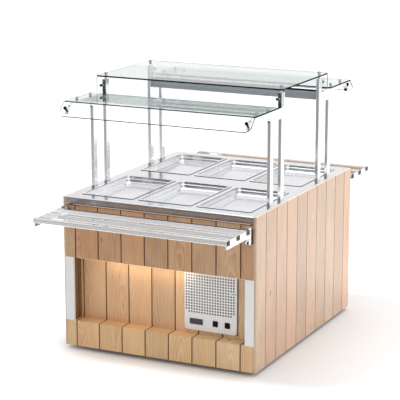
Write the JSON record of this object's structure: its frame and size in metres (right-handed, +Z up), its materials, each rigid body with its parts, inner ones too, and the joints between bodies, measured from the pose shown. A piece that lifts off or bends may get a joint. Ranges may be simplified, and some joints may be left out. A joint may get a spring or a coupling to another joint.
{
  "type": "mobile salad bar",
  "caption": "Plank-clad refrigerated salad bar on castors, with gastronorm pans, a two-sided glass sneeze guard, lamps and fold-down tray slides.",
  "frame": {"origin": "on the floor, under the centre of the cabinet", "axes": "+X to the right along the control side, +Y to the back serving side, +Z up"},
  "size_m": [1.168, 2.046, 1.509],
  "materials": {
    "oak_planks": "matt lacquered",
    "brushed_steel": "brushed",
    "pan_steel": "satin pressed",
    "well_steel": "mill",
    "white_panel": "powder coated",
    "dark_frame": "powder coated",
    "zinc_steel": "zinc plated",
    "polished_studs": "polished",
    "clear_glass": "clear toughened, green edge",
    "black_plastic": "satin moulded",
    "lamp_diffuser": "opal",
    "foam_shell": "rigid foam",
    "fin_aluminium": "bare fins",
    "grey_rubber": "moulded",
    "red_plastic": "moulded"
  },
  "bodies": {
    "cabinet": {"base_frame": "dark_frame", "machine_tray": "well_steel", "side_panel_left": "oak_planks", "side_panel_right": "oak_planks", "front_fascia": "oak_planks", "front_plinth": "oak_planks", "recess_wall": "oak_planks", "recess_cheeks": "oak_planks", "corner_profiles": "brushed_steel", "panel_screws": "zinc_steel", "back_panel": "oak_planks", "recess_lamp": "lamp_diffuser", "grille_panel": "white_panel", "thermostat": "black_plastic", "switch_frames": "black_plastic", "counter_top": "brushed_steel", "well_tub": "well_steel", "well_foam": "foam_shell", "tall_posts": "brushed_steel", "short_posts": "brushed_steel", "guard_arms": "brushed_steel", "roof_glass": "clear_glass", "upright_glass": "clear_glass", "shelf_glass": "clear_glass", "visor_glass": "clear_glass", "light_boxes": "brushed_steel", "light_lenses": "lamp_diffuser", "glass_studs": "polished_studs", "glass_knobs": "black_plastic", "tray_hinges": "black_plastic", "compressor": "dark_frame", "condenser": "fin_aluminium", "fan_housing": "black_plastic", "castor_plates": "zinc_steel", "cable_gland": "black_plastic"},
    "front_tray": {"tray_rails_front": "brushed_steel", "tray_brackets_front": "brushed_steel", "rail_caps_front": "black_plastic"},
    "back_tray": {"tray_rails_back": "brushed_steel", "tray_brackets_back": "brushed_steel", "rail_caps_back": "black_plastic"},
    "pan_front_left": {"pan_front_left": "pan_steel"},
    "pan_front_middle": {"pan_front_middle": "pan_steel"},
    "pan_front_right": {"pan_front_right": "pan_steel"},
    "pan_back_left": {"pan_back_left": "pan_steel"},
    "pan_back_middle": {"pan_back_middle": "pan_steel"},
    "pan_back_right": {"pan_back_right": "pan_steel"},
    "light_rocker": {"light_rocker": "black_plastic"},
    "power_rocker": {"power_rocker": "black_plastic"},
    "fan": {"fan_blades": "black_plastic"},
    "fork_fl": {"castor_fork_fl": "zinc_steel"},
    "wheel_fl": {"castor_wheel_fl": "grey_rubber"},
    "fork_fr": {"castor_fork_fr": "zinc_steel"},
    "wheel_fr": {"castor_wheel_fr": "grey_rubber"},
    "fork_bl": {"castor_fork_bl": "zinc_steel"},
    "wheel_bl": {"castor_wheel_bl": "grey_rubber"},
    "fork_br": {"castor_fork_br": "zinc_steel"},
    "wheel_br": {"castor_wheel_br": "grey_rubber"},
    "brake_left": {"brake_pedal_left": "red_plastic"},
    "brake_right": {"brake_pedal_right": "red_plastic"}
  },
  "joints": [
    {"name": "front_tray_fold", "type": "hinge", "parent": "cabinet", "child": "front_tray", "pos_m": [0, -0.7263, 0.742], "axis": [1, 0, 0], "range_deg": [0, 90]},
    {"name": "back_tray_fold", "type": "hinge", "parent": "cabinet", "child": "back_tray", "pos_m": [0, 0.7263, 0.742], "axis": [-1, 0, 0], "range_deg": [0, 90]},
    {"name": "pan_front_left_lift", "type": "slide", "parent": "cabinet", "child": "pan_front_left", "axis": [0, 0, 1], "range_m": [0, 0.15]},
    {"name": "pan_front_middle_lift", "type": "slide", "parent": "cabinet", "child": "pan_front_middle", "axis": [0, 0, 1], "range_m": [0, 0.15]},
    {"name": "pan_front_right_lift", "type": "slide", "parent": "cabinet", "child": "pan_front_right", "axis": [0, 0, 1], "range_m": [0, 0.15]},
    {"name": "pan_back_left_lift", "type": "slide", "parent": "cabinet", "child": "pan_back_left", "axis": [0, 0, 1], "range_m": [0, 0.15]},
    {"name": "pan_back_middle_lift", "type": "slide", "parent": "cabinet", "child": "pan_back_middle", "axis": [0, 0, 1], "range_m": [0, 0.15]},
    {"name": "pan_back_right_lift", "type": "slide", "parent": "cabinet", "child": "pan_back_right", "axis": [0, 0, 1], "range_m": [0, 0.15]},
    {"name": "light_rocker_tip", "type": "hinge", "parent": "cabinet", "child": "light_rocker", "pos_m": [0.314, -0.615, 0.24], "axis": [1, 0, 0], "range_deg": [-11, 0]},
    {"name": "power_rocker_tip", "type": "hinge", "parent": "cabinet", "child": "power_rocker", "pos_m": [0.386, -0.615, 0.24], "axis": [1, 0, 0], "range_deg": [-11, 0]},
    {"name": "fan_spin", "type": "hinge", "parent": "cabinet", "child": "fan", "pos_m": [0.30175, -0.5517, 0.4235], "axis": [0, 1, 0], "continuous": true},
    {"name": "swivel_fl", "type": "hinge", "parent": "cabinet", "child": "fork_fl", "pos_m": [-0.48, -0.52, 0.09], "axis": [0, 0, 1], "continuous": true},
    {"name": "roll_fl", "type": "hinge", "parent": "fork_fl", "child": "wheel_fl", "pos_m": [-0.48, -0.492, 0.0375], "axis": [1, 0, 0], "continuous": true},
    {"name": "swivel_fr", "type": "hinge", "parent": "cabinet", "child": "fork_fr", "pos_m": [0.48, -0.52, 0.09], "axis": [0, 0, 1], "continuous": true},
    {"name": "roll_fr", "type": "hinge", "parent": "fork_fr", "child": "wheel_fr", "pos_m": [0.48, -0.492, 0.0375], "axis": [1, 0, 0], "continuous": true},
    {"name": "swivel_bl", "type": "hinge", "parent": "cabinet", "child": "fork_bl", "pos_m": [-0.48, 0.595, 0.09], "axis": [0, 0, 1], "continuous": true},
    {"name": "roll_bl", "type": "hinge", "parent": "fork_bl", "child": "wheel_bl", "pos_m": [-0.48, 0.623, 0.0375], "axis": [1, 0, 0], "continuous": true},
    {"name": "swivel_br", "type": "hinge", "parent": "cabinet", "child": "fork_br", "pos_m": [0.48, 0.595, 0.09], "axis": [0, 0, 1], "continuous": true},
    {"name": "roll_br", "type": "hinge", "parent": "fork_br", "child": "wheel_br", "pos_m": [0.48, 0.623, 0.0375], "axis": [1, 0, 0], "continuous": true},
    {"name": "brake_left_press", "type": "hinge", "parent": "fork_fl", "child": "brake_left", "pos_m": [-0.48, -0.528, 0.076], "axis": [1, 0, 0], "range_deg": [0, 14]},
    {"name": "brake_right_press", "type": "hinge", "parent": "fork_fr", "child": "brake_right", "pos_m": [0.48, -0.528, 0.076], "axis": [1, 0, 0], "range_deg": [0, 14]}
  ]
}
